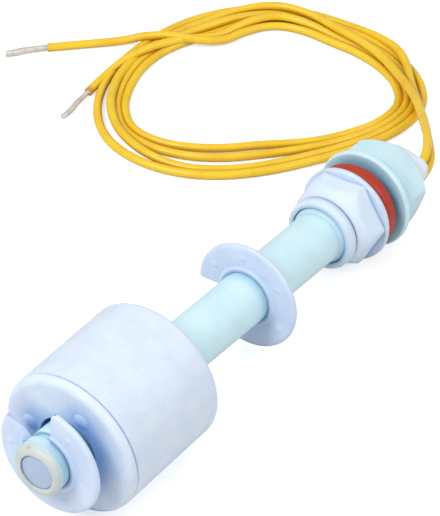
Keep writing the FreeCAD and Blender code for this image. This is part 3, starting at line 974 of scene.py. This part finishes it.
@dataclass
class StopClip:
    """Snap-on clip that stops the float: a disc with a soft rim, a low collar and a flared mouth.

    Attributes:
        node: CAD node that it stands for.
        station: Station of its front face in millimetres.
        mouth: Angle of the middle of its mouth in degrees.
        lean: Lean forwards at the top and at the side, in degrees.
        radius: Outer radius in millimetres.
        bore: Radius of its bore in millimetres.
        face: Radius where its flat face starts, in millimetres.
        face_step: Distance between the rings of the face in millimetres.
        face_rings: Number of those rings, close enough together for the pin marks.
        pin_circle: Radius of the circle of pin marks in millimetres.
        pin_radius: Radius of one mark in millimetres.
        pin_height: How far a mark stands out, in millimetres.
        corner: Radius of the prongs' corners in millimetres.
        steps: Number of steps from prong to prong.
        half_mouth: Radii, and half the mouth's angle there in degrees.
        pins: Angles of the faint pin marks from the mouth's middle, in degrees.
    """

    node: str
    station: float
    mouth: float
    lean: tuple[float, float] = (0.0, 0.0)
    radius: float = 8.85
    bore: float = 3.75
    face: float = 6.0
    face_step: float = 0.16
    face_rings: int = 11
    pin_circle: float = 6.8
    pin_radius: float = 0.5
    pin_height: float = 0.14
    corner: float = 0.5
    steps: int = 190
    half_mouth: tuple[tuple[float, float], ...] = (
        (3.7, 38.5), (4.3, 36.6), (5.3, 34.2), (6.4, 32.8), (8.9, 32.6),
    )
    pins: tuple[float, ...] = (62.0, 118.0, 180.0, 242.0, 298.0)

    def profile(self) -> list[tuple[float, float]]:
        """Outline of its section.

        Returns:
            Distances behind the front face and radii, in millimetres.
        """
        bore, rim = self.bore, self.radius
        inner = [(1.05, bore), (0.06, bore), (0.0, 4.2), (-0.2, 4.22), (-0.25, 4.3), (-0.25, 4.72)]
        collar = [(-0.21, 4.88), (-0.12, 4.99), (-0.02, 5.1), (0.0, 5.3), (0.0, 5.7)]
        face = [(0.0, self.face + self.face_step * step) for step in range(self.face_rings)]
        edge = [
            (0.0, rim - 0.8), (0.02, rim - 0.5), (0.1, rim - 0.24), (0.24, rim - 0.08), (0.42, rim),
            (0.66, rim), (0.84, rim - 0.07), (0.98, rim - 0.22), (1.05, rim - 0.45),
        ]
        return inner + collar + face + edge + [(1.05, self.face)]

    def half_angle(self, radius: float) -> float:
        """Half of the mouth's angle at a radius.

        Args:
            radius: Radius in millimetres.

        Returns:
            The angle in radians, wider at the rounded corners of the prongs.
        """
        angle = self.half_mouth[-1][1]
        for (low, first), (high, second) in zip(self.half_mouth, self.half_mouth[1:]):
            if low <= radius <= high:
                angle = first + (second - first) * (radius - low) / (high - low)
                break
        near = max(0.0, radius - self.radius + self.corner)
        rounded = self.corner - math.sqrt(max(0.0, self.corner ** 2 - near ** 2))
        return math.radians(angle) + rounded / radius

    def point(self, depth: float, radius: float, share: float) -> Vector:
        """Place of one point of the clip.

        Args:
            depth: Distance behind the front face in millimetres.
            radius: Radius in millimetres.
            share: Share of the way from prong to prong.

        Returns:
            The point in metres.
        """
        half = self.half_angle(radius)
        turn = half + share * (FULL_TURN - 2 * half)
        if depth <= 0.0:
            for pin in self.pins:
                round_circle = self.pin_circle * (turn - math.radians(pin))
                offset = math.hypot(radius - self.pin_circle, round_circle)
                depth -= self.pin_height * math.exp(-((offset / self.pin_radius) ** 4))
        angle = turn + math.radians(self.mouth)
        across, up = radius * math.cos(angle), radius * math.sin(angle)
        top, side = (math.tan(math.radians(value)) for value in self.lean)
        return on_stem(self.station + depth + up * top + across * side, across, up)

    def build(self, material: bpy.types.Material) -> None:
        """Make the clip.

        Args:
            material: Its material.
        """
        profile = self.profile()
        shares = [step / self.steps for step in range(self.steps + 1)]
        rows = [[self.point(depth, radius, share) for depth, radius in profile] for share in shares]
        made = grid_object(f"stop_{self.node}", rows, False, True)
        seat(made, self.node, material)


@dataclass
class TipClosure:
    """Ferrule and plug that close the tube's mouth, a little off the axis as they were welded.

    Attributes:
        ring: Stations and radii of the ferrule's section in millimetres.
        disc: Stations and radii of the plug's section in millimetres.
        drift: Sideways and upward shift of the very tip in millimetres.
        root: Station behind which nothing is shifted.
        wave: Height of the lip's unevenness in millimetres.
        waves: Number of waves round the lip, share of the height and phase of each set.
        swell: How far the lip moves outwards, as a share of how far it moves along.
        lip_radius: Radius outside which the lip is uneven, in millimetres.
    """

    ring: Profile = (
        (4.6, 1.75), (4.6, 2.55), (1.7, 2.56), (1.7, 4.1), (1.35, 4.17), (0.95, 4.2), (0.6, 4.12),
        (0.32, 3.92), (0.12, 3.62), (0.02, 3.3), (0.0, 3.05), (0.06, 2.87), (0.2, 2.8),
        (0.5, 2.78), (0.62, 2.7), (0.62, 1.75),
    )
    disc: Profile = (
        (1.2, 0.05), (1.2, 1.7), (0.6, 1.7), (0.6, 2.68), (0.42, 2.73), (0.34, 2.68), (0.31, 2.5),
        (0.30, 1.6), (0.28, 0.8), (0.28, 0.05),
    )
    drift: tuple[float, float] = (-0.45, 0.05)
    root: float = 1.7
    wave: float = 0.05
    waves: tuple[tuple[int, float, float], ...] = ((3, 1.0, 0.6), (7, 0.6, 0.0))
    swell: float = 0.5
    lip_radius: float = 2.75

    def place(self, station: float, radius: float, angle: float) -> Vector:
        """Place of one point of the tip.

        Args:
            station: Station in millimetres.
            radius: Radius in millimetres.
            angle: Angle in radians.

        Returns:
            The point in metres.
        """
        share = max(0.0, 1.0 - station / self.root)
        share_of_lip = share if radius > self.lip_radius else 0.0
        uneven = sum(part * math.sin(count * angle + phase) for count, part, phase in self.waves)
        lip = self.wave * share_of_lip * uneven
        reach = radius + self.swell * lip
        across = reach * math.cos(angle) + share * self.drift[0]
        up = reach * math.sin(angle) + share * self.drift[1]
        return on_stem(station + lip + self.wave * share, across, up)

    def build(self, ferrule: bpy.types.Material, plug: bpy.types.Material) -> None:
        """Make both pieces.

        Args:
            ferrule: Material of the ferrule.
            plug: Material of the plug.
        """
        ring = turned("tip_ferrule", self.ring, self.place, True)
        seat(ring, "end_ferrule", ferrule)
        disc = turned("tip_plug", self.disc, self.place, False)
        seat(disc, "end_plug", plug)


@dataclass
class PottingDome:
    """Resin in the head's cup: a lumpy dome drawn up into a web round the leads.

    Attributes:
        section: Stations and radii in millimetres.
        mouth: Station of the cup's mouth, behind which the resin is free, in millimetres.
        web_angle: Angle of the web in degrees.
        web_station: Station where the web stands out most, in millimetres.
        web_height: How far it stands out, in millimetres.
        web_length: Half its length along the stem in millimetres.
        web_spread: Half its width round the stem in radians.
        full_radius: Radius outside which web and lumps have their full height, in millimetres.
        lumps: Height of the unevenness in millimetres.
        waves: Number of waves round the resin, share of the height and twist of each set.
    """

    section: Profile = (
        (82.0, 0.05), (82.0, 2.5), (86.4, 2.5), (86.4, 4.5), (89.5, 5.12), (90.1, 5.2),
        (90.7, 5.15), (91.3, 5.0), (91.9, 4.75), (92.5, 4.42), (93.0, 4.0), (93.4, 3.5),
        (93.75, 2.9), (94.05, 2.2), (94.25, 1.5), (94.3, 0.8), (94.32, 0.05),
    )
    mouth: float = 90.0
    web_angle: float = 152.0
    web_station: float = 92.9
    web_height: float = 1.5
    web_length: float = 1.3
    web_spread: float = 0.42
    full_radius: float = 3.0
    lumps: float = 0.09
    waves: tuple[tuple[int, float, float], ...] = ((2, 1.0, 1.0), (5, 0.6, -2.0))

    def place(self, station: float, radius: float, angle: float) -> Vector:
        """Place of one point of the resin.

        Args:
            station: Station in millimetres.
            radius: Radius in millimetres.
            angle: Angle in radians.

        Returns:
            The point in metres.
        """
        if station > self.mouth:
            turn = math.remainder(angle - math.radians(self.web_angle), FULL_TURN) / self.web_spread
            along = (station - self.web_station) / self.web_length
            web = self.web_height * math.exp(-(turn ** 2) - along ** 2)
            radius += web * min(1.0, radius / self.full_radius)
            uneven = sum(
                part * math.sin(count * angle + twist * station)
                for count, part, twist in self.waves
            )
            radius += self.lumps * uneven * min(1.0, radius / self.full_radius)
        return around_stem(station, radius, math.degrees(angle))

    def build(self, material: bpy.types.Material) -> None:
        """Make the resin.

        Args:
            material: Its material.
        """
        dome = turned("potting_dome", self.section, self.place, False)
        seat(dome, "potting", material)


LEAD_RADIUS = 0.75
COIL_CENTRE = (8.9, 33.8)
COIL_STEP = 30.0
COIL_START = -60.0
FLOOR_LAYER = 0.78
UPPER_LAYER = 2.2
WIRE_ROUNDNESS = 5
WIRE_FINENESS = 12


def smooth(values: Sequence[float], position: float) -> float:
    """Value between the entries of a table.

    Args:
        values: The table.
        position: Place in the table, counted in entries.

    Returns:
        The value on a smooth curve through the entries.
    """
    index = min(max(int(position), 0), len(values) - 2)
    share = position - index
    before = values[max(index - 1, 0)]
    first, second = values[index], values[index + 1]
    after = values[min(index + 2, len(values) - 1)]
    bend = 2 * before - 5 * first + 4 * second - after
    twist = 3 * (first - second) + after - before
    return first + 0.5 * share * (second - before + share * (bend + share * twist))


@dataclass
class Lead:
    """One insulated lead, from the potting through the coil to its bare end.

    Attributes:
        letter: Its letter in the node names.
        exit: Where it leaves the potting, in millimetres.
        route: Points from there to the coil, in millimetres.
        radii: Distance from the coil's centre at each step of the turns, in millimetres.
        layers: Height layer at each step, 0 on the floor and 1 on the strands below.
        tail: Points of the tail, relative to the origin, in millimetres.
        bare: Points of the bare end, relative to the origin, in millimetres.
        length: Real length in millimetres; not used.
        finish: Insulation.
        bare_radius: Radius of the bare end in millimetres.
        bare_shares: Share of that radius at each point of the bare end.
        origin: Place of the potting's mouth in the frame, as x and y in millimetres.
    """

    letter: str
    exit: Triple
    route: tuple[Triple, ...]
    radii: tuple[float, ...]
    layers: tuple[float, ...]
    tail: tuple[Triple, ...]
    bare: tuple[Triple, ...]
    length: float
    finish: LeadSkin
    bare_radius: float = 0.5
    bare_shares: tuple[float, ...] = (0.82, 1.0, 1.06, 0.9)
    origin: tuple[float, float] = (47.073, 0.665)

    def turns(self) -> list[Vector]:
        """Points of the coil's turns.

        Returns:
            Points every half step, in millimetres.
        """
        points = []
        for half in range(2, 2 * len(self.radii) - 1):
            position = half / 2.0
            angle = math.radians(COIL_START + COIL_STEP * position)
            reach = smooth(self.radii, position)
            height = FLOOR_LAYER + smooth(self.layers, position) * (UPPER_LAYER - FLOOR_LAYER)
            x = self.origin[0] + COIL_CENTRE[0] + reach * math.cos(angle)
            y = self.origin[1] + COIL_CENTRE[1] + reach * math.sin(angle)
            points.append(Vector((x, y, max(height, FLOOR_LAYER))))
        return points

    def from_origin(self, points: tuple[Triple, ...]) -> list[Vector]:
        """Points of the tail or the bare end in the part's frame.

        Args:
            points: Points relative to the origin, in millimetres.

        Returns:
            The points in millimetres.
        """
        return [Vector((self.origin[0] + x, self.origin[1] + y, z)) for x, y, z in points]

    def centreline(self) -> list[Vector]:
        """Points of the whole lead.

        Returns:
            Control points in millimetres.
        """
        points = [Vector(self.exit)] + [Vector(point) for point in self.route]
        return points + self.turns() + self.from_origin(self.tail)

    def curve(self, name: str, points: list[Vector], radius: float) -> bpy.types.Object:
        """Round wire along points.

        Args:
            name: Name of the object.
            points: Control points in millimetres.
            radius: Radius in millimetres.

        Returns:
            The wire's object.
        """
        data = bpy.data.curves.new(name, "CURVE")
        data.dimensions = "3D"
        data.bevel_depth = radius * MM
        data.bevel_resolution = WIRE_ROUNDNESS
        data.resolution_u = WIRE_FINENESS
        data.use_fill_caps = True
        spline = data.splines.new("NURBS")
        spline.points.add(len(points) - 1)
        for slot, point in zip(spline.points, points):
            slot.co = (*(point * MM), 1.0)
        spline.order_u = 3
        spline.use_endpoint_u = True
        made = bpy.data.objects.new(name, data)
        bpy.context.scene.collection.objects.link(made)
        return made

    def build(self, tinned: bpy.types.Material) -> None:
        """Make the lead and its bare end.

        Args:
            tinned: Material of the bare end.
        """
        wire = self.curve(f"lead_{self.letter}", self.centreline(), LEAD_RADIUS)
        wire.data.materials.append(self.finish.build())
        bare = self.from_origin(self.bare)
        tip = self.curve(f"bare_end_{self.letter}", bare, self.bare_radius)
        for slot, share in zip(tip.data.splines[0].points, self.bare_shares):
            slot.radius = share
        tip.data.materials.append(tinned)
        for piece in (wire, tip):
            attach(piece, Body.STEM.value)
        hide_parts(f"lead_{self.letter}_exit", f"lead_{self.letter}_tail", "lead_coil")
        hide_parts(f"tinned_end_{self.letter}")
        log.info("lead %s: %d control points", self.letter, len(wire.data.splines[0].points))


YELLOW = (0.93, 0.62, 0.03)
OCHRE = (0.86, 0.53, 0.02)
# Colour of the painted shade between lead strands and in the cores' hollow places.
SHADE_AMBER = (0.58, 0.29, 0.005)
LEAD_A = Lead(
    "a",
    exit=(45.2, -2.9, 8.9),
    route=(
        (47.5, -3.0, 9.45), (49.9, -2.1, 9.65), (52.8, -0.45, 9.25), (56.0, 1.8, 8.2),
        (59.7, 4.7, 6.75), (63.2, 7.6, 5.35), (66.3, 10.3, 4.4), (69.7, 14.1, 3.5),
    ),
    radii=(
        24.5, 22.9, 22.2, 25.5, 24.2, 24.1, 25.4, 26.6, 24.1, 19.7, 18.0, 20.5,
        26.0, 24.9, 22.8, 23.2, 20.3, 21.7, 22.9, 23.9, 17.9, 13.7, 14.2, 17.6,
        23.3, 22.0, 19.9, 21.3, 16.8,
    ),
    layers=(
        1, 1, 1, 1, 0, 0, 0.7, 0.7, 0, 0, 0, 0,
        0, 0, 0, 0, 0, 0, 0, 0, 0, 0, 0, 0,
        0, 0, 0, 0, 0.3,
    ),
    tail=(
        (13.9, 52.6, 1.9), (12.2, 56.2, 2.3), (9.6, 59.9, 2.0), (7.6, 62.3, 1.1),
        (3.0, 67.6, 0.75), (-1.6, 72.2, 0.75),
    ),
    bare=((-1.3, 71.9, 0.75), (-4.4, 74.9, 0.7), (-6.2, 76.0, 0.62), (-7.2, 77.0, 0.6)),
    length=386.0,
    finish=LeadSkin("lead_a_skin", YELLOW, OCHRE, SHADE_AMBER, (92.97, 72.865, -7.05), 0.15),
    bare_radius=0.6,
)
LEAD_B = Lead(
    "b",
    exit=(45.4, -4.0, 7.8),
    route=(
        (48.2, -3.7, 7.9), (51.1, -2.2, 8.0), (54.4, 0.25, 7.25), (58.1, 3.0, 5.85),
        (61.8, 5.9, 4.4), (65.1, 8.7, 3.3), (68.2, 11.3, 2.4), (72.0, 15.0, 2.2),
    ),
    radii=(
        26.1, 26.6, 25.8, 26.2, 25.7, 25.5, 27.5, 29.0, 25.8, 21.3, 19.5, 22.0,
        27.4, 26.4, 24.3, 24.7, 21.0, 23.1, 24.3, 25.4, 20.7, 16.4, 16.0, 19.0,
        24.7, 23.4, 21.4, 22.4, 18.5,
    ),
    layers=(
        1, 1, 0, 0, 0, 0, 0, 0, 0, 0, 0, 0,
        0, 0, 0, 0, 1, 0, 0, 0, 0, 0, 0, 0,
        0, 0, 0.1, 1, 0.2,
    ),
    tail=(
        (14.3, 53.7, 1.4), (9.2, 56.0, 2.2), (3.6, 58.3, 1.9), (-1.8, 59.1, 0.8),
        (-7.6, 58.5, 0.75),
    ),
    bare=((-7.2, 58.5, 0.75), (-11.0, 58.3, 0.7), (-13.6, 57.6, 0.62), (-15.5, 57.8, 0.6)),
    length=407.0,
    finish=LeadSkin("lead_b_skin", YELLOW, OCHRE, SHADE_AMBER, (86.98, 59.165, -7.35), 0.65),
)


# Colour of the painted shade in the stem's hollow places.
SHADE_TEAL = (0.13, 0.39, 0.58)
STEM_PP = MouldedPlastic(
    "stem_pp_look", (0.66, 0.87, 0.94), (0.60, 0.83, 0.92), roughness=0.42, wave=0.03, shade_colour=SHADE_TEAL,
    rounding=0.35, thread=(69.6, 81.8, 1.5), depth=0.2,
)
FERRULE_PP = MouldedPlastic(
    "ferrule_pp_look", (0.62, 0.67, 0.65), (0.56, 0.62, 0.59), roughness=0.4,
    shade_colour=(0.36, 0.44, 0.47), reach=1.4, fade=(0.7, 1.5, (0.60, 0.83, 0.88)),
    marks=(Mark((0.35, 1.2, 3.9), 0.2, 0.5, (0.50, 0.40, 0.24), 0.7, 0.3),),
)
PLUG_PP = MouldedPlastic(
    "plug_pp_look", (0.47, 0.56, 0.75), (0.43, 0.52, 0.72), roughness=0.45, reach=0.5,
)
CLIP_PP = MouldedPlastic(
    "clip_pp_look", (0.68, 0.78, 0.95), (0.61, 0.72, 0.92), roughness=0.42, wave=0.04,
)
FLOAT_PP = MouldedPlastic(
    "float_pp_look", (0.73, 0.82, 0.94), (0.67, 0.77, 0.92), mottle=3.5, speck=(0.4, 0.42, 0.5),
    roughness=0.62, grain=0.02, shade_colour=(0.12, 0.34, 0.74), reach=4.5,
)
NUT_PP = MouldedPlastic(
    "nut_pp_look", (0.73, 0.84, 0.98), (0.68, 0.80, 0.98), roughness=0.45,
    shade_colour=(0.26, 0.46, 0.80), rounding=1.4, hollow=0.42, reach=3.0,
)
POTTING_RESIN = MouldedPlastic(
    "potting_look", (0.84, 0.89, 1.0), (0.80, 0.86, 0.99), wave=0.2, hollow=0.4, reach=2.0,
)
SLEEVE_PVC = MouldedPlastic("sleeve_look", (0.85, 0.85, 0.82), (0.8, 0.8, 0.77))
CORE_PVC = MouldedPlastic("core_look", YELLOW, OCHRE, roughness=0.35, shade_colour=SHADE_AMBER)
GASKET_SILICONE = Rubber("gasket_look", (0.46, 0.032, 0.010), (0.52, 0.065, 0.03))
FERRITE = Metal("ferrite_look", (0.05, 0.05, 0.055), (0.09, 0.085, 0.08), 0.6, 0.02, 0.3)
REED_ALLOY = Metal("reed_look", (0.60, 0.58, 0.54), (0.48, 0.46, 0.42), 0.3, 0.01)
SOLDER = Metal("solder_look", (0.62, 0.62, 0.62), (0.45, 0.45, 0.45), 0.35, 0.02)
TINNED = Metal("tinned_look", (0.80, 0.76, 0.72), (0.60, 0.57, 0.52), 0.42, 0.04, 0.5)
REED_GLASS = ClearGlass("reed_glass_look", (0.85, 0.95, 0.91))


@dataclass
class Dressing:
    """Finishes of the pieces that keep their CAD shape.

    Attributes:
        finishes: Finish of each group of nodes, and the body that they ride on.
    """

    finishes: tuple[tuple[Finish, Body, tuple[str, ...]], ...] = (
        (STEM_PP, Body.STEM, ("stem_body",)),
        (FLOAT_PP, Body.FLOAT, ("float_shell", "float_cap")),
        (NUT_PP, Body.NUT, ("mounting_nut",)),
        (GASKET_SILICONE, Body.GASKET, ("sealing_gasket",)),
        (SLEEVE_PVC, Body.STEM, ("insulating_sleeve",)),
        (CORE_PVC, Body.STEM, ("lead_core_a", "lead_core_b")),
        (FERRITE, Body.MAGNET, ("ring_magnet",)),
        (REED_ALLOY, Body.STEM, ("reed_blade_tip_side", "reed_blade_head_side")),
        (SOLDER, Body.STEM, ("solder_joint_a", "solder_joint_b")),
        (REED_GLASS, Body.STEM, ("reed_glass",)),
    )

    def build(self) -> None:
        """Give each node its material."""
        for finish, body, nodes in self.finishes:
            material = finish.build()
            for name in nodes:
                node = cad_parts[name]
                node.data.materials.clear()
                node.data.materials.append(material)
                faces = len(node.data.polygons)
                log.info("%s on %s: %s, %d faces", name, body.value, finish.name, faces)


def main() -> None:
    """Make the whole scene."""
    logging.basicConfig(level=logging.INFO, format="%(message)s")
    Studio().build()
    tinned = TINNED.build()
    for lead in (LEAD_A, LEAD_B):
        lead.build(tinned)
    clip_look = CLIP_PP.build()
    StopClip("end_clip", station=3.2, mouth=62.5, lean=(-1.0, 0.8)).build(clip_look)
    StopClip("travel_clip", station=50.45, mouth=-34.0).build(clip_look)
    TipClosure().build(FERRULE_PP.build(), PLUG_PP.build())
    PottingDome().build(POTTING_RESIN.build())
    Dressing().build()


if __name__ == "__main__":
    main()
